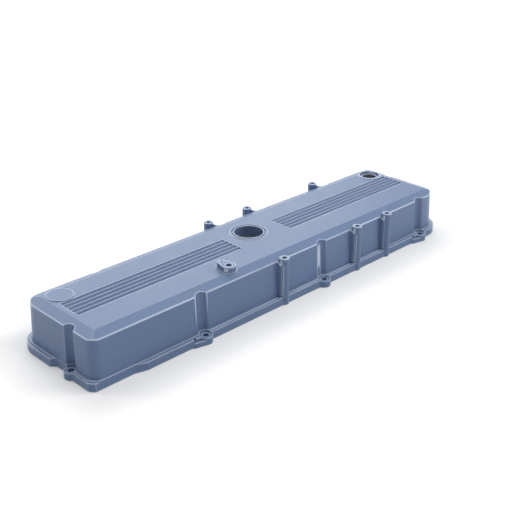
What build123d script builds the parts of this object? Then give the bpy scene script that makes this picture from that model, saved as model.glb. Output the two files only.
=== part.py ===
from build123d import *
from math import cos, radians, sqrt, tan
import os

os.makedirs("parts", exist_ok=True)

# The cover stands on its gasket face at Z = 0, centred on the origin.
# X runs along the engine and the front is at -Y.

# Deck and walls
deck_length = 636.0
deck_width = 114.0
deck_height = 68.7
bevel_run = 15.6
bevel_drop = 4.6
wall_draft = 2.5
wall = 4.0
front_left_corner = 15.0
front_right_corner = 34.0
back_corner = 28.0
eave_fillet = 2.0

# Flange round the foot of the walls
flange_width = 6.3
flange_height = 11.0
bead_width = 2.8
bead_height = 12.3
lip_width = 10.5
lip_height = 8.0
narrow_front_width = 1.5
narrow_end_width = 4.5
narrow_length = 57.9
narrow_slope = 20.0
gap_length = 31.0

# Flange bolts
bolt_hole = 9.0
bolt_boss_radius = 9.2
bolt_seat_radius = 8.75
bolt_seat_height = 9.6
bolt_pitch = 225.0
bolts_per_side = 3
front_bolt_margin = 53.9
front_bolt_reach = 4.5
left_bolt_margin = 46.1
right_bolt_margin = 53.4
pocket_radius = 10.0
pocket_entry = 4.5
boss_blend = 2.5

# Tapped ears beside two of the front bolts
ear_reach = 19.0
ear_radius = 4.7
ear_height = 7.2
ear_hole = 4.2

# Clearance pocket in the back wall, beside the first bolt
relief_offset = 41.0
relief_reach = 6.5
relief_radius = 14.0

# Bolt tubes that stand outside the long walls, each with a web at one side,
# placed from the last front bolt and from the middle of the back wall
tube_radius = 7.0
tube_hole = 7.0
front_tubes = [-304.9, -153.5, -85.4]
back_tubes = [-15.8, 61.9, 207.7]
front_tube_reach = 2.0
back_tube_reach = 7.2
web_thickness = 3.5
web_offset = 7.6
web_start = 1.9
web_overlap = 2.0
front_web_fall = 5.0
back_web_fall = 2.0
web_bead = 1.8

# Flutes in the deck, in one group on each side of the filler
flute_pitch = 8.35
flute_width = 6.2
flute_depth = 1.8
flute_flank = 25.0
flutes_per_group = 5
flute_y = 3.5
flute_left_margin = 6.7
flute_right_margin = 3.7
flute_left_gap = 44.0
flute_right_gap = 52.6

# Oil filler
filler_x = 1.0
filler_y = 16.0
filler_bore = 42.0
filler_rim_radius = 27.0
filler_rim_height = 0.9
filler_rim_chamfer = 0.5
filler_lip = 1.8
filler_ring_width = 2.4
filler_ring_depth = 1.6
filler_neck_wall = 3.5
filler_neck_depth = 12.0

# Breather opening
breather_end_margin = 16.8
breather_back_margin = 15.4
breather_rim_radius = 18.7
breather_rim_height = 1.5
breather_rim_chamfer = 1.0
breather_seat_radius = 15.5
breather_seat_depth = 3.0
breather_bore = 22.0

# Round boss that is left blank at the other end of the deck
blank_end_margin = 19.6
blank_back_margin = 14.9
blank_radius = 17.6
blank_height = 0.9

# Bracket boss at the front edge of the deck
bracket_x = -101.8
bracket_setback = 4.2
bracket_radius = 9.5
bracket_tail_radius = 6.3
bracket_tail_reach = 13.2
bracket_height = 7.6
bracket_foot_width = 1.7
bracket_foot_height = 0.8
bracket_hole = 8.5
bracket_hole_depth = 9.0
dowel_hole = 3.4
dowel_depth = 6.0

# Rubber gasket in its groove under the flange
groove_inset = 7.2
groove_width = 4.0
groove_depth = 4.0
gasket_clearance = 0.3

# Stiffening ribs under the deck
rib_thickness = 3.0
rib_depth = 7.0
ribs_per_bolt_pitch = 2
rib_steps = [-2, -1, 1]

# Oil baffle under the breather, on two cast bars with a screw in each
baffle_end_margin = 2.0
baffle_length = 130.0
baffle_width = 100.0
baffle_corner = 8.0
baffle_sheet = 1.5
baffle_rim = 9.0
baffle_drop = 20.0
bar_thickness = 11.0
bar_length = 60.0
bar_end_margin = 17.0
screw_radius = 2.5
screw_length = 12.0
screw_clearance = 0.2
screw_flats = 8.0
screw_head_height = 3.6

# Sizes that follow from the ones above
wall_lean = (deck_height - bevel_drop) * tan(radians(wall_draft))
foot_x = deck_length / 2 + bevel_run + wall_lean
foot_y = deck_width / 2 + bevel_run + wall_lean
ceiling = deck_height - wall
baffle_seat = ceiling - baffle_drop
last_front_bolt = foot_x - front_bolt_margin
front_bolts = [
    (last_front_bolt - i * bolt_pitch, -foot_y - front_bolt_reach)
    for i in reversed(range(bolts_per_side))
]
back_bolts = [((i - (bolts_per_side - 1) / 2) * bolt_pitch, foot_y) for i in range(bolts_per_side)]
left_bolt = (-foot_x, -foot_y + left_bolt_margin)
right_bolt = (foot_x, foot_y - right_bolt_margin)
bolts = front_bolts + back_bolts + [left_bolt, right_bolt]
ears = [(x - ear_reach, y) for x, y in (front_bolts[0], front_bolts[-1])]
relief = (back_bolts[0][0] + relief_offset, foot_y + relief_reach)
front_tube_places = [(last_front_bolt + x, -foot_y - front_tube_reach) for x in front_tubes]
back_tube_places = [(x, foot_y + back_tube_reach) for x in back_tubes]
tube_places = front_tube_places + back_tube_places
flute_groups = [
    (-deck_length / 2 + flute_left_margin, filler_x - flute_left_gap),
    (filler_x + flute_right_gap, deck_length / 2 - flute_right_margin),
]
breather = (deck_length / 2 - breather_end_margin, deck_width / 2 - breather_back_margin)
blank = (-deck_length / 2 + blank_end_margin, deck_width / 2 - blank_back_margin)
bracket_y = -deck_width / 2 + bracket_setback
bracket_tail_y = bracket_y + bracket_tail_reach
rib_places = [(i * bolt_pitch / ribs_per_bolt_pitch, 0) for i in rib_steps]
baffle_x = deck_length / 2 - baffle_end_margin - baffle_length / 2
bars = [(baffle_x + i * (baffle_length / 2 - bar_end_margin), 0) for i in (-1, 1)]

# Pockets in the walls: the place of the axis at the foot, the direction along the wall
# with the inside on its left, the radius and how far the axis stands outside the wall
pockets = [(place, (1, 0), pocket_radius, front_bolt_reach) for place in front_bolts]
pockets += [(place, (-1, 0), pocket_radius, 0) for place in back_bolts]
pockets += [(left_bolt, (0, -1), pocket_radius, 0), (right_bolt, (0, 1), pocket_radius, 0)]
pockets += [(relief, (-1, 0), relief_radius, relief_reach)]


def foot_plan(growth):
    """Plan of the wall foot, grown outwards by an amount."""
    with BuildSketch() as plan:
        Rectangle(2 * (foot_x + growth), 2 * (foot_y + growth))
        fillet(plan.vertices().group_by(Axis.Y)[-1], back_corner + growth)
        front_left = plan.vertices().group_by(Axis.Y)[0].sort_by(Axis.X)[0]
        fillet(front_left, front_left_corner + growth)
        front_right = plan.vertices().group_by(Axis.Y)[0].sort_by(Axis.X)[-1]
        fillet(front_right, front_right_corner + growth)
    return plan.sketch


def leaning_plane(place, along):
    """Plane across a wall pocket, square to the drafted wall, with Y inwards."""
    return Plane((*place, 0), x_dir=(*along, 0)).rotated((-wall_draft, 0, 0))


def hip_roof(top):
    """Block with a flat top and a bevel on all four sides, down to Z = 0."""
    with BuildPart() as roof:
        with BuildSketch():
            Rectangle(deck_length + 4 * bevel_run, deck_width + 4 * bevel_run)
        extrude(amount=top)
        flat = roof.faces().sort_by(Axis.Z)[-1]
        chamfer(flat.edges(), 2 * bevel_run, 2 * bevel_drop, reference=flat)
    return roof.part


# Flange edge, narrow at the front left corner and cut away beside the left bolt
with BuildSketch() as rim:
    add(foot_plan(flange_width))
    with BuildLine():
        Polyline(
            (-foot_x + narrow_length + narrow_slope, -foot_y - flange_width - 1),
            (-foot_x + narrow_length, -foot_y - narrow_front_width),
            (-foot_x - flange_width - 1, -foot_y - narrow_front_width),
            (-foot_x - flange_width - 1, -foot_y - flange_width - 1),
            close=True,
        )
    make_face(mode=Mode.SUBTRACT)
    with BuildLine():
        Polyline(
            (-foot_x - narrow_end_width, -foot_y - flange_width),
            (-foot_x - narrow_end_width, left_bolt[1]),
            (-foot_x, left_bolt[1]),
            (-foot_x, left_bolt[1] + gap_length),
            (-foot_x - flange_width - 1, left_bolt[1] + gap_length + flange_width + 1),
            (-foot_x - flange_width - 1, -foot_y - flange_width),
            close=True,
        )
    make_face(mode=Mode.SUBTRACT)

# The same edge with the bolt bosses and tube feet blended in
with BuildSketch() as foot:
    add(rim.sketch)
    with Locations(*bolts):
        Circle(bolt_boss_radius)
    with Locations(*tube_places):
        Circle(tube_radius)
    offset(amount=boss_blend)
    offset(amount=-boss_blend)

# Webs in plan, which also carry the bead round the foot of each tube
front_webs = [(x - web_offset, y) for x, y in front_tube_places]
back_webs = [(x + web_offset, y) for x, y in back_tube_places]

with BuildSketch() as bead:
    add(foot_plan(bead_width))
    for x, y in front_webs + back_webs:
        reach = abs(y) + web_overlap + web_bead
        with Locations((x, reach / 2 if y > 0 else -reach / 2)):
            Rectangle(web_thickness + 2 * web_bead, reach)
    add(rim.sketch, mode=Mode.INTERSECT)

# Pockets that clear the bolts, with rounded entries tangent to the wall
with BuildPart() as pocket_cuts:
    for place, along, radius, reach in pockets:
        mouth_y = reach * cos(radians(wall_draft))
        mouth_x = sqrt((radius + pocket_entry) ** 2 - (mouth_y + pocket_entry) ** 2)
        share = radius / (radius + pocket_entry)
        floor_x = mouth_x * share
        floor_y = (mouth_y + pocket_entry) * share
        with BuildSketch(leaning_plane(place, along)):
            with BuildLine():
                entry = TangentArc((-mouth_x, mouth_y), (-floor_x, floor_y), tangent=(1, 0))
                floor = TangentArc((-floor_x, floor_y), (floor_x, floor_y), tangent=entry % 1)
                TangentArc((floor_x, floor_y), (mouth_x, mouth_y), tangent=floor % 1)
                Polyline(
                    (mouth_x, mouth_y),
                    (mouth_x, -radius),
                    (-mouth_x, -radius),
                    (-mouth_x, mouth_y),
                )
            make_face()
        extrude(amount=deck_height + bead_height)
    split(bisect_by=Plane.XY.offset(bead_height), keep=Keep.TOP)

# Inside of the casting, less the walls behind the pockets
# and the ribs, the filler neck and the baffle bars that hang from the deck
with BuildPart() as cavity:
    extrude(foot_plan(-wall), amount=deck_height, taper=wall_draft)
    add(hip_roof(ceiling), mode=Mode.INTERSECT)
    with BuildSketch():
        Rectangle(2 * foot_x, 2 * foot_y)
        add(foot_plan(-wall - lip_width), mode=Mode.SUBTRACT)
    extrude(amount=lip_height, mode=Mode.SUBTRACT)
    for place, along, radius, reach in pockets:
        with BuildSketch(leaning_plane(place, along)):
            Circle(radius + wall)
        extrude(amount=deck_height, both=True, mode=Mode.SUBTRACT)
    with BuildSketch(Plane.XY.offset(ceiling)):
        with Locations(*rib_places):
            Rectangle(rib_thickness, 2 * foot_y)
    extrude(amount=-rib_depth, mode=Mode.SUBTRACT)
    with BuildSketch(Plane.XY.offset(ceiling)):
        with Locations((filler_x, filler_y)):
            Circle(filler_bore / 2 + filler_neck_wall)
    extrude(amount=-filler_neck_depth, mode=Mode.SUBTRACT)
    with BuildSketch(Plane.XY.offset(ceiling)):
        with Locations(*bars):
            Rectangle(bar_thickness, bar_length)
    extrude(amount=-baffle_drop, mode=Mode.SUBTRACT)

with BuildPart() as cover:
    # Walls and deck as a solid block
    extrude(foot_plan(0), amount=deck_height + 1, taper=wall_draft)
    add(hip_roof(deck_height), mode=Mode.INTERSECT)
    slopes = cover.faces().filter_by(lambda face: 0.5 < face.normal_at().Z < 0.999)
    walls = cover.faces().filter_by(lambda face: abs(face.normal_at().Z) < 0.5)
    fillet(slopes.edges() & walls.edges(), eave_fillet)
    add(pocket_cuts.part, mode=Mode.SUBTRACT)

    # Flange with its bead, bolt bosses and ears
    extrude(foot.sketch, amount=bolt_seat_height)
    extrude(rim.sketch, amount=flange_height)
    extrude(bead.sketch, amount=bead_height)
    for x, y in ears:
        with BuildSketch():
            with Locations((x, y)):
                Circle(ear_radius)
            with Locations((x + ear_reach, y)):
                Circle(bolt_boss_radius)
            make_hull()
        extrude(amount=ear_height)

    # Tubes and webs
    with BuildSketch():
        with Locations(*tube_places):
            Circle(tube_radius)
    extrude(amount=deck_height)
    web_start_y = deck_width / 2 + bevel_run - web_start
    web_height = deck_height - bevel_drop * (bevel_run - web_start) / bevel_run
    web_inner = foot_y - wall - wall_lean
    for webs, side, reach, fall in (
        (front_webs, -1, front_tube_reach, front_web_fall),
        (back_webs, 1, back_tube_reach, back_web_fall),
    ):
        for x, y in webs:
            with BuildSketch(Plane.YZ.offset(x - web_thickness / 2)):
                with BuildLine():
                    Polyline(
                        (side * web_inner, 0),
                        (side * (foot_y + reach + web_overlap), 0),
                        (side * (foot_y + reach + web_overlap), web_height - fall),
                        (side * web_start_y, web_height),
                        (side * web_inner, web_height),
                        close=True,
                    )
                make_face()
            extrude(amount=web_thickness)

    # Flat seats for the bolts
    with BuildSketch(Plane.XY.offset(bolt_seat_height)):
        with Locations(*bolts):
            Circle(bolt_seat_radius)
    extrude(amount=bead_height - bolt_seat_height, mode=Mode.SUBTRACT)

    # Bracket boss, a large and a small round joined by tangents, and its wider foot
    for growth, height in ((bracket_foot_width, bracket_foot_height), (0, bracket_height)):
        with BuildSketch(Plane.XY.offset(ceiling)):
            with Locations((bracket_x, bracket_y)):
                Circle(bracket_radius + growth)
            with Locations((bracket_x, bracket_tail_y)):
                Circle(bracket_tail_radius + growth)
            make_hull()
        extrude(amount=wall + height)

    # Blank boss and the rims of the two openings
    with BuildSketch(Plane.XY.offset(ceiling)):
        with Locations(blank):
            Circle(blank_radius)
    extrude(amount=wall + blank_height)
    with BuildSketch(Plane.XY.offset(ceiling)):
        with Locations(breather):
            Circle(breather_rim_radius)
    extrude(amount=wall + breather_rim_height)
    chamfer(cover.faces(Select.LAST).sort_by(Axis.Z)[-1].edges(), breather_rim_chamfer)
    with BuildSketch(Plane.XY.offset(ceiling)):
        with Locations((filler_x, filler_y)):
            Circle(filler_rim_radius)
    extrude(amount=wall + filler_rim_height)
    chamfer(cover.faces(Select.LAST).sort_by(Axis.Z)[-1].edges(), filler_rim_chamfer)
    with BuildSketch(Plane.XY.offset(deck_height + filler_rim_height)):
        with Locations((filler_x, filler_y)):
            Circle(filler_bore / 2 + filler_lip + filler_ring_width)
            Circle(filler_bore / 2 + filler_lip, mode=Mode.SUBTRACT)
    extrude(amount=-filler_ring_depth, mode=Mode.SUBTRACT)

    # Flutes
    with BuildSketch(Plane.XY.offset(deck_height)):
        for left, right in flute_groups:
            with Locations(((left + right) / 2, flute_y)):
                with GridLocations(0, flute_pitch, 1, flutes_per_group):
                    Rectangle(right - left, flute_width)
    extrude(amount=-flute_depth, taper=flute_flank, mode=Mode.SUBTRACT)

    # Inside
    add(cavity.part, mode=Mode.SUBTRACT)

    # Holes
    with BuildSketch():
        with Locations(*bolts):
            Circle(bolt_hole / 2)
        with Locations(*ears):
            Circle(ear_hole / 2)
        with Locations(*tube_places):
            Circle(tube_hole / 2)
        with Locations((filler_x, filler_y)):
            Circle(filler_bore / 2)
        with Locations(breather):
            Circle(breather_bore / 2)
    extrude(amount=2 * deck_height, mode=Mode.SUBTRACT)
    with Locations((*breather, deck_height + breather_rim_height)):
        Hole(breather_seat_radius, breather_seat_depth)
    with Locations((bracket_x, bracket_y, deck_height + bracket_height)):
        Hole(bracket_hole / 2, bracket_hole_depth)
    with Locations((bracket_x, bracket_tail_y, deck_height + bracket_height)):
        Hole(dowel_hole / 2, dowel_depth)
    with Locations(*[(x, y, baffle_seat) for x, y in bars]):
        Cylinder(
            screw_radius + screw_clearance / 2,
            screw_length,
            align=(Align.CENTER, Align.CENTER, Align.MIN),
            mode=Mode.SUBTRACT,
        )

    # Gasket groove
    with BuildSketch():
        add(foot_plan(-groove_inset))
        add(foot_plan(-groove_inset - groove_width), mode=Mode.SUBTRACT)
    extrude(amount=groove_depth, mode=Mode.SUBTRACT)

# Rubber gasket
with BuildPart() as gasket:
    with BuildSketch():
        add(foot_plan(-groove_inset - gasket_clearance))
        add(foot_plan(-groove_inset - groove_width + gasket_clearance), mode=Mode.SUBTRACT)
    extrude(amount=groove_depth)

# Baffle, a tray pressed from sheet
with BuildPart() as baffle:
    with BuildSketch(Plane.XY.offset(baffle_seat - baffle_sheet)):
        with Locations((baffle_x, 0)):
            RectangleRounded(baffle_length, baffle_width, baffle_corner)
    extrude(amount=baffle_sheet + baffle_rim)
    with BuildSketch(Plane.XY.offset(baffle_seat)):
        with Locations((baffle_x, 0)):
            RectangleRounded(
                baffle_length - 2 * baffle_sheet,
                baffle_width - 2 * baffle_sheet,
                baffle_corner - baffle_sheet,
            )
    extrude(amount=baffle_rim, mode=Mode.SUBTRACT)
    with Locations(*[(x, y, baffle_seat) for x, y in bars]):
        Hole(screw_radius + screw_clearance)

# Screws that hold the baffle
with BuildPart() as screws:
    underside = baffle_seat - baffle_sheet
    with Locations(*[(x, y, underside) for x, y in bars]):
        Cylinder(screw_radius, screw_length, align=(Align.CENTER, Align.CENTER, Align.MIN))
    with BuildSketch(Plane.XY.offset(underside)):
        with Locations(*bars):
            RegularPolygon(screw_flats / 2, 6, major_radius=False)
    extrude(amount=-screw_head_height)

for piece, name in (
    (cover, "valve_cover"),
    (gasket, "rim_gasket"),
    (baffle, "oil_baffle"),
    (screws, "baffle_screws"),
):
    piece.part.label = name
    export_step(piece.part, f"parts/{name}.step")
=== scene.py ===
import math

import bmesh
import bpy
import numpy as np
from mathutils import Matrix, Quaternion, Vector


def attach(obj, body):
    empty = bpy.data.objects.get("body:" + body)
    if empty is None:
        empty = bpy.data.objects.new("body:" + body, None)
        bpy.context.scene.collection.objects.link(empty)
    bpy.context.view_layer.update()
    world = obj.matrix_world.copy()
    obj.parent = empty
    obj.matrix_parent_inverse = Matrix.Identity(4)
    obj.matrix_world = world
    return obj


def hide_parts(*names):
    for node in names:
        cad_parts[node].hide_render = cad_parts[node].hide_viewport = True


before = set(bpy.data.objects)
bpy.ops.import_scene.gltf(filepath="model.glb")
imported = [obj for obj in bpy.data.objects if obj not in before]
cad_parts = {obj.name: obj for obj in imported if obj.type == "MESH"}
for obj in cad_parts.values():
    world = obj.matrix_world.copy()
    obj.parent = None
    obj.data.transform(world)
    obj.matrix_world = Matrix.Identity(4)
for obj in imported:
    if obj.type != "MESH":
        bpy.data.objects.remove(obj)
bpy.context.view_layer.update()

print("frame loaded:", sorted(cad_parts))


# shared shader groups

def newGroup(name, inputs, outputs):
    # a shader group with named sockets, each given as (name, socket type, default)
    group = bpy.data.node_groups.new(name, "ShaderNodeTree")
    for label, kind, value in inputs:
        socket = group.interface.new_socket(name=label, in_out="INPUT", socket_type=kind)
        if value is not None:
            socket.default_value = value
    for label, kind in outputs:
        group.interface.new_socket(name=label, in_out="OUTPUT", socket_type=kind)
    return group, group.nodes.new("NodeGroupInput"), group.nodes.new("NodeGroupOutput")


def addNoise(tree, vector, scale, detail, roughness):
    node = tree.nodes.new("ShaderNodeTexNoise")
    node.inputs["Scale"].default_value = scale
    node.inputs["Detail"].default_value = detail
    node.inputs["Roughness"].default_value = roughness
    tree.links.new(vector, node.inputs["Vector"])
    return node


def addMath(tree, operation, first, second):
    node = tree.nodes.new("ShaderNodeMath")
    node.operation = operation
    for socket, value in zip(node.inputs, (first, second)):
        if isinstance(value, (int, float)):
            socket.default_value = value
        else:
            tree.links.new(value, socket)
    return node.outputs["Value"]


def mapRange(tree, value, low, high, newLow, newHigh):
    node = tree.nodes.new("ShaderNodeMapRange")
    tree.links.new(value, node.inputs["Value"])
    node.inputs["From Min"].default_value = low
    node.inputs["From Max"].default_value = high
    node.inputs["To Min"].default_value = newLow
    node.inputs["To Max"].default_value = newHigh
    return node.outputs["Result"]


def makeCastSkinGroup():
    # height of a sand-cast skin: fine grain plus a broad, shallow unevenness
    group, inputs, outputs = newGroup(
        "castSkin",
        [("Vector", "NodeSocketVector", None),
         ("Grain Scale", "NodeSocketFloat", 900.0),
         ("Grain", "NodeSocketFloat", 1.0),
         ("Wave", "NodeSocketFloat", 0.4)],
        [("Height", "NodeSocketFloat"), ("Mottle", "NodeSocketFloat")])
    grain = group.nodes.new("ShaderNodeTexNoise")
    grain.inputs["Detail"].default_value = 3.0
    grain.inputs["Roughness"].default_value = 0.6
    group.links.new(inputs.outputs["Vector"], grain.inputs["Vector"])
    group.links.new(inputs.outputs["Grain Scale"], grain.inputs["Scale"])
    wave = addNoise(group, inputs.outputs["Vector"], 38.0, 2.0, 0.5)
    fine = addMath(group, "MULTIPLY", grain.outputs["Fac"], inputs.outputs["Grain"])
    broad = addMath(group, "MULTIPLY", wave.outputs["Fac"], inputs.outputs["Wave"])
    group.links.new(addMath(group, "ADD", fine, broad), outputs.inputs["Height"])
    group.links.new(wave.outputs["Fac"], outputs.inputs["Mottle"])
    return group


def newMaterial(name, baseColor, roughness, metallic=0.0):
    material = bpy.data.materials.new(name)
    material.use_nodes = True
    shader = material.node_tree.nodes["Principled BSDF"]
    shader.inputs["Base Color"].default_value = (*baseColor, 1.0)
    shader.inputs["Roughness"].default_value = roughness
    shader.inputs["Metallic"].default_value = metallic
    return material, material.node_tree, shader


def mixColors(tree, factor, first, second):
    node = tree.nodes.new("ShaderNodeMix")
    node.data_type = "RGBA"
    tree.links.new(factor, node.inputs["Factor"])
    node.inputs[6].default_value = (*first, 1.0)
    node.inputs[7].default_value = (*second, 1.0)
    return node.outputs[2]


def addBump(tree, shader, height, strength, distance, normal=None):
    bump = tree.nodes.new("ShaderNodeBump")
    bump.inputs["Strength"].default_value = strength
    bump.inputs["Distance"].default_value = distance
    tree.links.new(height, bump.inputs["Height"])
    if normal is not None:
        tree.links.new(normal, bump.inputs["Normal"])
    tree.links.new(bump.outputs["Normal"], shader.inputs["Normal"])


def makeHighlightAndShadeGroup():
    # rounded normal, a mask for a painted highlight on convex edges and steep rounds, strongest
    # on faces that look up, and a mask for painted shade in the creases between faces
    group, inputs, outputs = newGroup(
        "highlightsAndCreaseShade",
        [("Radius", "NodeSocketFloat", 0.001),
         ("Highlight Width", "NodeSocketFloat", 0.003),
         ("Crease Shade Width", "NodeSocketFloat", 0.002)],
        [("Normal", "NodeSocketVector"), ("Edge", "NodeSocketFloat"),
         ("Crease", "NodeSocketFloat")])
    rounded = group.nodes.new("ShaderNodeBevel")
    rounded.samples = 6
    group.links.new(inputs.outputs["Radius"], rounded.inputs["Radius"])
    broad = group.nodes.new("ShaderNodeBevel")
    broad.samples = 8
    group.links.new(inputs.outputs["Highlight Width"], broad.inputs["Radius"])
    flat = group.nodes.new("ShaderNodeNewGeometry")
    turn = group.nodes.new("ShaderNodeVectorMath")
    turn.operation = "DOT_PRODUCT"
    group.links.new(broad.outputs["Normal"], turn.inputs[0])
    group.links.new(flat.outputs["Normal"], turn.inputs[1])
    turned = mapRange(group, turn.outputs["Value"], 0.997, 0.95, 0.0, 1.0)
    axes = group.nodes.new("ShaderNodeSeparateXYZ")
    group.links.new(flat.outputs["Normal"], axes.inputs["Vector"])
    # the painted highlight is stronger on faces that look up, as if lit from above
    upward = mapRange(group, axes.outputs["Z"], 0.2, 0.8, 0.4, 1.0)
    aboveWall = mapRange(group, axes.outputs["Z"], 0.12, 0.28, 0.0, 1.0)
    belowBevel = mapRange(group, axes.outputs["Z"], 0.86, 0.93, 1.0, 0.0)
    steepRoundHighlight = addMath(group, "MULTIPLY", aboveWall, belowBevel)
    # painted shade in the creases, from how much of the surroundings a point sees
    shade = group.nodes.new("ShaderNodeAmbientOcclusion")
    shade.samples = 8
    group.links.new(inputs.outputs["Crease Shade Width"], shade.inputs["Distance"])
    crease = mapRange(group, shade.outputs["AO"], 0.85, 0.5, 0.0, 1.0)
    # painted highlight on convex edges and on steep rounds such as the eave, kept out of the crease
    # shade
    paintedHighlight = addMath(group, "MAXIMUM", addMath(group, "MULTIPLY", turned, upward), steepRoundHighlight)
    edge = addMath(group, "MULTIPLY", paintedHighlight, addMath(group, "SUBTRACT", 1.0, crease))
    group.links.new(rounded.outputs["Normal"], outputs.inputs["Normal"])
    group.links.new(edge, outputs.inputs["Edge"])
    group.links.new(crease, outputs.inputs["Crease"])
    return group


castSkin = makeCastSkinGroup()
highlightsAndCreaseShade = makeHighlightAndShadeGroup()


def addSkin(tree, look):
    # the cast skin and the edge masks of one finish
    place = tree.nodes.new("ShaderNodeTexCoord").outputs["Object"]
    skin = tree.nodes.new("ShaderNodeGroup")
    skin.node_tree = castSkin
    skin.inputs["Grain Scale"].default_value = look["grainScale"]
    tree.links.new(place, skin.inputs["Vector"])
    edge = tree.nodes.new("ShaderNodeGroup")
    edge.node_tree = highlightsAndCreaseShade
    edge.inputs["Radius"].default_value = look["edgeRadius"]
    edge.inputs["Highlight Width"].default_value = look["edgeHighlightWidth"]
    edge.inputs["Crease Shade Width"].default_value = look["creaseShadeWidth"]
    return skin, edge


def shadeColor(tree, skin, edge, look):
    # mottled colour, lighter on edges as a painted highlight and darker in creases as painted shade
    color = mixColors(tree, mapRange(tree, skin.outputs["Mottle"], 0.35, 0.65, 0.0, 1.0),
                      look["deepColor"], look["color"])
    paintedHighlight = mixColors(tree, addMath(tree, "MULTIPLY", edge.outputs["Edge"], look["edgeHighlightShare"]),
                       look["color"], look["edgeHighlightColor"])
    tree.links.new(color, paintedHighlight.node.inputs[6])
    # painted shade: the crease colour darkens the creases
    paintedCreaseShade = mixColors(tree, addMath(tree, "MULTIPLY", edge.outputs["Crease"], look["creaseShadeShare"]),
                      look["color"], look["creaseShadeColor"])
    tree.links.new(paintedHighlight, paintedCreaseShade.node.inputs[6])
    return paintedCreaseShade


paint = {
    "color": (0.126, 0.195, 0.342),
    "deepColor": (0.121, 0.188, 0.331),
    # the edge colour is a painted highlight on edges, and the crease colour painted shade in
    # creases
    "edgeHighlightColor": (0.55, 0.64, 0.80),
    "edgeHighlightShare": 0.9,
    "edgeHighlightWidth": 0.003,
    "edgeRadius": 0.0008,
    "creaseShadeColor": (0.045, 0.072, 0.145),
    "creaseShadeShare": 0.8,
    "creaseShadeWidth": 0.0024,
    "roughness": (0.35, 0.42),
    "grainScale": 1100.0,
    "bumpStrength": 0.3,
    "bumpDistance": 0.00004,
}

# the same paint in the flutes, darker as painted shade and with little painted highlight on the
# flute lips
shadedFlutePaint = {**paint, "edgeHighlightShare": 0.12, "color": (0.120, 0.186, 0.328)}


def makePaint(name, look):
    # slate-blue paint over a fine cast surface
    material, tree, shader = newMaterial(name, look["color"], 0.42)
    shader.inputs["Specular IOR Level"].default_value = 0.38
    skin, edge = addSkin(tree, look)
    tree.links.new(shadeColor(tree, skin, edge, look), shader.inputs["Base Color"])
    rough = mapRange(tree, skin.outputs["Mottle"], 0.3, 0.7, *look["roughness"])
    tree.links.new(rough, shader.inputs["Roughness"])
    addBump(tree, shader, skin.outputs["Height"], look["bumpStrength"], look["bumpDistance"],
            edge.outputs["Normal"])
    return material


bareCasting = {
    "color": (0.56, 0.565, 0.57),
    "deepColor": (0.46, 0.47, 0.48),
    # the edge colour is a painted highlight on edges, and the crease colour painted shade in
    # creases
    "edgeHighlightColor": (0.70, 0.705, 0.71),
    "edgeHighlightShare": 0.5,
    "edgeHighlightWidth": 0.002,
    "edgeRadius": 0.001,
    "creaseShadeColor": (0.16, 0.155, 0.15),
    "creaseShadeShare": 0.7,
    "creaseShadeWidth": 0.004,
    "grainScale": 700.0,
    "bumpStrength": 0.5,
    "bumpDistance": 0.0001,
}


def makeBareCasting():
    # unpainted cast aluminium of the inside
    material, tree, shader = newMaterial("bareAluminium", bareCasting["color"], 0.5, 0.85)
    skin, edge = addSkin(tree, bareCasting)
    tree.links.new(shadeColor(tree, skin, edge, bareCasting), shader.inputs["Base Color"])
    addBump(tree, shader, skin.outputs["Height"], bareCasting["bumpStrength"],
            bareCasting["bumpDistance"], edge.outputs["Normal"])
    return material


milledFace = {
    "name": "milledFace",
    "color": (0.62, 0.625, 0.63),
    "roughness": (0.22, 0.36),
    "stretch": (1.0, 22.0, 22.0),      # the cutter's marks run along X
    "marks": (60.0, 2.0, 0.5),         # scale, detail and roughness of the marks
    "bumpStrength": 0.2,
    "bumpDistance": 0.00003,
}

pressedSheet = {
    "name": "pressedSheet",
    "color": (0.42, 0.46, 0.53),
    "roughness": (0.28, 0.42),
    "stretch": (2.0, 40.0, 2.0),       # the rolling marks run across Y
    "marks": (30.0, 3.0, 0.55),
    "bumpStrength": 0.15,
    "bumpDistance": 0.00003,
}


def makeMarkedMetal(look):
    # bare metal with fine parallel marks, which change its roughness and its height
    material, tree, shader = newMaterial(look["name"], look["color"], look["roughness"][0], 1.0)
    stretch = tree.nodes.new("ShaderNodeMapping")
    stretch.inputs["Scale"].default_value = look["stretch"]
    tree.links.new(tree.nodes.new("ShaderNodeTexCoord").outputs["Object"], stretch.inputs["Vector"])
    marks = addNoise(tree, stretch.outputs["Vector"], *look["marks"]).outputs["Fac"]
    tree.links.new(mapRange(tree, marks, 0.3, 0.7, *look["roughness"]), shader.inputs["Roughness"])
    addBump(tree, shader, marks, look["bumpStrength"], look["bumpDistance"])
    return material


gasketRubber = {
    "cleanColor": (0.018, 0.018, 0.019),
    "dustyColor": (0.035, 0.034, 0.033),
    "roughness": 0.62,
    "dust": (120.0, 3.0, 0.6),
    "bumpStrength": 0.2,
    "bumpDistance": 0.00005,
}


def makeRubber(look):
    # matt black rubber with a little dust
    material, tree, shader = newMaterial("gasketRubber", look["cleanColor"], look["roughness"])
    place = tree.nodes.new("ShaderNodeTexCoord").outputs["Object"]
    dust = addNoise(tree, place, *look["dust"]).outputs["Fac"]
    color = mixColors(tree, mapRange(tree, dust, 0.4, 0.7, 0.0, 1.0),
                      look["cleanColor"], look["dustyColor"])
    tree.links.new(color, shader.inputs["Base Color"])
    addBump(tree, shader, dust, look["bumpStrength"], look["bumpDistance"])
    return material


platedScrew = {
    "color": (0.62, 0.60, 0.55),
    "roughness": (0.24, 0.4),
    "haze": (400.0, 2.0, 0.5),
}


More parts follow.
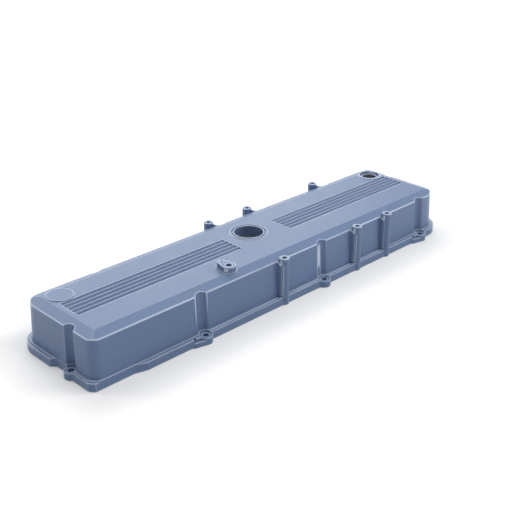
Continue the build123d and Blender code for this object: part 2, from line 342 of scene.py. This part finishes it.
def makeScrewSteel(look):
    # plated steel with a slight haze
    material, tree, shader = newMaterial("platedScrew", look["color"], look["roughness"][0], 1.0)
    place = tree.nodes.new("ShaderNodeTexCoord").outputs["Object"]
    haze = addNoise(tree, place, *look["haze"]).outputs["Fac"]
    tree.links.new(mapRange(tree, haze, 0.3, 0.7, *look["roughness"]), shader.inputs["Roughness"])
    return material


print("finishes ready")


# the pieces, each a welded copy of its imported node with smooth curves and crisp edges

weldLook = {
    "mergeDistance": 0.000002,
    "flatAngle": 0.006,    # faces that turn by less, in radians, become one
    "sharpAngle": 0.22,    # edges that turn by more stay crisp
    "faceWeight": 100,
}


def weldedCopy(nodeName, pieceName, materials, finishOf=None):
    # the node's triangles joined at their corners, with flat areas made one face each
    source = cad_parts[nodeName]
    mesh = source.data.copy()
    mesh.materials.clear()
    for material in materials:
        mesh.materials.append(material)
    shape = bmesh.new()
    shape.from_mesh(mesh)
    bmesh.ops.remove_doubles(shape, verts=shape.verts, dist=weldLook["mergeDistance"])
    shape.to_mesh(mesh)
    if finishOf is not None:
        mesh.polygons.foreach_set("material_index", finishOf(mesh))
        shape.clear()
        shape.from_mesh(mesh)
    bmesh.ops.dissolve_limit(
        shape, angle_limit=weldLook["flatAngle"], use_dissolve_boundaries=False,
        verts=shape.verts, edges=shape.edges, delimit={"MATERIAL"})
    shape.to_mesh(mesh)
    shape.free()
    for layer in list(mesh.uv_layers):
        mesh.uv_layers.remove(layer)
    piece = bpy.data.objects.new(pieceName, mesh)
    bpy.context.scene.collection.objects.link(piece)
    mesh.shade_smooth()
    mesh.set_sharp_from_angle(angle=weldLook["sharpAngle"])
    weights = piece.modifiers.new("flatFaces", "WEIGHTED_NORMAL")
    weights.weight = weldLook["faceWeight"]
    weights.keep_sharp = True
    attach(piece, "root")
    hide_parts(nodeName)
    return piece


castingPlan = {
    "foot": (0.3364, 0.0754),          # half length and half width of the wall foot
    "corners": (0.015, 0.034, 0.028),  # front left, front right and both back ones
    "lean": 0.0437,                    # how far the walls lean inwards per metre of height
    "skin": 0.0026,                    # paint reaches this far in from the outside
    "deck": (0.318, 0.057, 0.0687),    # half length, half width and height of the flat deck
    "bevelSlope": 0.295,
    "ceiling": 0.0646,                 # just under the inner face of the deck
    "gasketFace": 0.0042,
    "pockets": [(-0.1675, -0.0799), (0.0575, -0.0799), (0.2825, -0.0799),
                (-0.225, 0.0754), (0.0, 0.0754), (0.225, 0.0754),
                (-0.3364, -0.0293), (0.3364, 0.022), (-0.184, 0.0819)],
    "pocketReach": [0.0133] * 8 + [0.0172],  # round the pockets' axes, which all lean to the back
    "filler": (0.001, 0.016, 0.0215),  # place and radius of the painted bore
    "flutes": [(-0.3116, -0.0428), (0.0534, 0.3146)],
    "fluteMiddle": 0.0035,
    "fluteReach": 0.0202,
    "fluteHeights": (0.0665, 0.0688),
}


def castingFinish(mesh, plan=castingPlan):
    # material of each face: 1, bare, where it lies inside the leaning, rounded walls and
    # under the deck and its bevel by more than the skin, and outside each pocket's round,
    # 2, milled, where it faces down at the foot, 3 in the fluted strips, which get a darker
    # paint as painted shade with little painted highlight, and 0, painted, elsewhere
    count = len(mesh.polygons)
    centre = np.empty(count * 3)
    normal = np.empty(count * 3)
    mesh.polygons.foreach_get("center", centre)
    mesh.polygons.foreach_get("normal", normal)
    x, y, z = centre.reshape(-1, 3).T
    left, right, back = plan["corners"]
    corner = np.where(y > 0, back, np.where(x > 0, right, left))
    beyondX = np.abs(x) - plan["foot"][0] + corner
    beyondY = np.abs(y) - plan["foot"][1] + corner
    wallGap = np.hypot(np.maximum(beyondX, 0), np.maximum(beyondY, 0))
    wallGap += np.minimum(np.maximum(beyondX, beyondY), 0) - corner + plan["lean"] * z
    inside = wallGap < -plan["skin"]
    overhang = np.maximum(np.abs(x) - plan["deck"][0], np.abs(y) - plan["deck"][1])
    inside &= z < plan["deck"][2] - plan["bevelSlope"] * np.maximum(overhang, 0) - plan["skin"]
    pockets = np.array(plan["pockets"])
    reach = np.array(plan["pocketReach"])
    axisY = pockets[:, 1] + plan["lean"] * z[:, None]
    away = np.hypot(x[:, None] - pockets[:, 0], y[:, None] - axisY)
    inside &= (away > reach).all(axis=1)
    fillerX, fillerY, fillerReach = plan["filler"]
    inside &= (np.hypot(x - fillerX, y - fillerY) > fillerReach) | (z > plan["ceiling"])
    milled = (z < plan["gasketFace"]) & (normal.reshape(-1, 3)[:, 2] < -0.5)
    strips = np.array(plan["flutes"])
    fluted = ((x[:, None] > strips[:, 0]) & (x[:, None] < strips[:, 1])).any(axis=1)
    fluteLow, fluteHigh = plan["fluteHeights"]
    fluted &= np.abs(y - plan["fluteMiddle"]) < plan["fluteReach"]
    fluted &= (z > fluteLow) & (z < fluteHigh)
    return np.select([milled, inside, fluted], [2, 1, 3], 0).astype(np.int32)


casting = weldedCopy("valve_cover", "castCover",
                     [makePaint("slateBluePaint", paint), makeBareCasting(),
                      makeMarkedMetal(milledFace), makePaint("slateBlueFlutesShaded", shadedFlutePaint)],
                     castingFinish)
weldedCopy("rim_gasket", "rimGasket", [makeRubber(gasketRubber)])
weldedCopy("oil_baffle", "oilBaffle", [makeMarkedMetal(pressedSheet)])
weldedCopy("baffle_screws", "baffleScrews", [makeScrewSteel(platedScrew)])
print("pieces made:", len(casting.data.polygons), "faces in the casting")


# floor, lamps, world and camera

stageLook = {
    "floorSize": 16.0,
    "floorColor": (0.80, 0.80, 0.80),
    # the lower glow beside the object paints its shadow on the floor
    "floorGlowAndPaintedShadow": (0.16, 1.0),          # beside the object and away from it
    "paintedShadowReach": (0.0, 0.35),
    "footprint": (0.345, 0.088, 0.0),  # half length and half width of the object
    "backColor": (1.0, 1.0, 1.0),
    "ambient": 0.38,
}


def seenByCamera(tree):
    # 1 for rays that show the background: straight to the camera, mirrored or through glass
    path = tree.nodes.new("ShaderNodeLightPath")
    mirrored = addMath(tree, "MAXIMUM", path.outputs["Is Camera Ray"],
                       path.outputs["Is Glossy Ray"])
    return addMath(tree, "MAXIMUM", mirrored, path.outputs["Is Transmission Ray"])


def makeFloor():
    # the glow, a painted shadow beside the object, grows with the distance from the object's
    # footprint, which is the length of what each coordinate is beyond the half size
    bpy.ops.mesh.primitive_plane_add(size=stageLook["floorSize"], location=(0, 0, -0.0004))
    floor = bpy.context.object
    floor.name = "studioFloor"
    material, tree, shader = newMaterial("studioPaper", stageLook["floorColor"], 0.9)
    shader.inputs["Specular IOR Level"].default_value = 0.0
    shader.inputs["Emission Color"].default_value = (1, 1, 1, 1)
    place = tree.nodes.new("ShaderNodeTexCoord").outputs["Object"]
    for operation, value in (("ABSOLUTE", None), ("SUBTRACT", stageLook["footprint"]),
                             ("MAXIMUM", (0, 0, 0))):
        step = tree.nodes.new("ShaderNodeVectorMath")
        step.operation = operation
        tree.links.new(place, step.inputs[0])
        if value is not None:
            step.inputs[1].default_value = value
        place = step.outputs["Vector"]
    away = tree.nodes.new("ShaderNodeVectorMath")
    away.operation = "LENGTH"
    tree.links.new(place, away.inputs[0])
    glowWithPaintedShadow = mapRange(tree, away.outputs["Value"], *stageLook["paintedShadowReach"], *stageLook["floorGlowAndPaintedShadow"])
    shown = addMath(tree, "MULTIPLY", seenByCamera(tree), glowWithPaintedShadow)
    tree.links.new(shown, shader.inputs["Emission Strength"])
    floor.data.materials.append(material)


def makeWorld():
    world = bpy.data.worlds.new("studioWorld")
    bpy.context.scene.world = world
    world.use_nodes = True
    tree = world.node_tree
    shown = tree.nodes["Background"]
    shown.inputs["Color"].default_value = (*stageLook["backColor"], 1)
    shown.inputs["Strength"].default_value = 1.0
    light = tree.nodes.new("ShaderNodeBackground")
    light.inputs["Color"].default_value = (1, 1, 1, 1)
    light.inputs["Strength"].default_value = stageLook["ambient"]
    mix = tree.nodes.new("ShaderNodeMixShader")
    tree.links.new(seenByCamera(tree), mix.inputs["Fac"])
    tree.links.new(light.outputs["Background"], mix.inputs[1])
    tree.links.new(shown.outputs["Background"], mix.inputs[2])
    tree.links.new(mix.outputs["Shader"], tree.nodes["World Output"].inputs["Surface"])


def aimedRotation(source, target):
    return (Vector(target) - Vector(source)).to_track_quat("-Z", "Y").to_euler()


lampTarget = (0, 0, 0.05)
lampLooks = [
    {"name": "backPanel", "place": (1.40, 2.80, 2.40), "size": (3.7, 3.4), "power": 72.0},
    {"name": "topPanel", "place": (0.1, -0.8, 2.3), "size": (1.6, 1.2), "power": 14.0},
    {"name": "rightPanel", "place": (2.30, -1.50, 2.00), "size": (1.5, 1.5), "power": 36.0},
    {"name": "leftPanel", "place": (-1.40, 2.20, 2.10), "size": (1.2, 1.2), "power": 18.0},
]


def makeLamp(look):
    data = bpy.data.lights.new(look["name"], "AREA")
    data.shape = "RECTANGLE"
    data.size, data.size_y = look["size"]
    data.energy = look["power"]
    lamp = bpy.data.objects.new(look["name"], data)
    lamp.location = look["place"]
    lamp.rotation_euler = aimedRotation(look["place"], lampTarget)
    bpy.context.scene.collection.objects.link(lamp)


cameraLook = {
    "place": (-0.8395, -0.8531, 0.6101),
    "heading": 45.459,      # degrees from +X towards +Y
    "downTilt": 25.586,
    "roll": 0.13,
    "lens": 65.55,
    "sensor": 36.0,
}


def makeCamera():
    data = bpy.data.cameras.new("photoCamera")
    data.lens = cameraLook["lens"]
    data.sensor_width = cameraLook["sensor"]
    data.clip_start = 0.01
    heading = math.radians(cameraLook["heading"])
    tilt = math.radians(cameraLook["downTilt"])
    forward = Vector((math.cos(heading) * math.cos(tilt),
                      math.sin(heading) * math.cos(tilt), -math.sin(tilt)))
    roll = Quaternion((0, 0, 1), math.radians(cameraLook["roll"]))
    turn = forward.to_track_quat("-Z", "Y") @ roll
    camera = bpy.data.objects.new("photoCamera", data)
    camera.rotation_mode = "QUATERNION"
    camera.rotation_quaternion = turn
    camera.location = cameraLook["place"]
    bpy.context.scene.collection.objects.link(camera)
    bpy.context.scene.camera = camera


makeFloor()
makeWorld()
for look in lampLooks:
    makeLamp(look)
makeCamera()
bpy.context.scene.view_settings.view_transform = "Standard"
print("stage made")
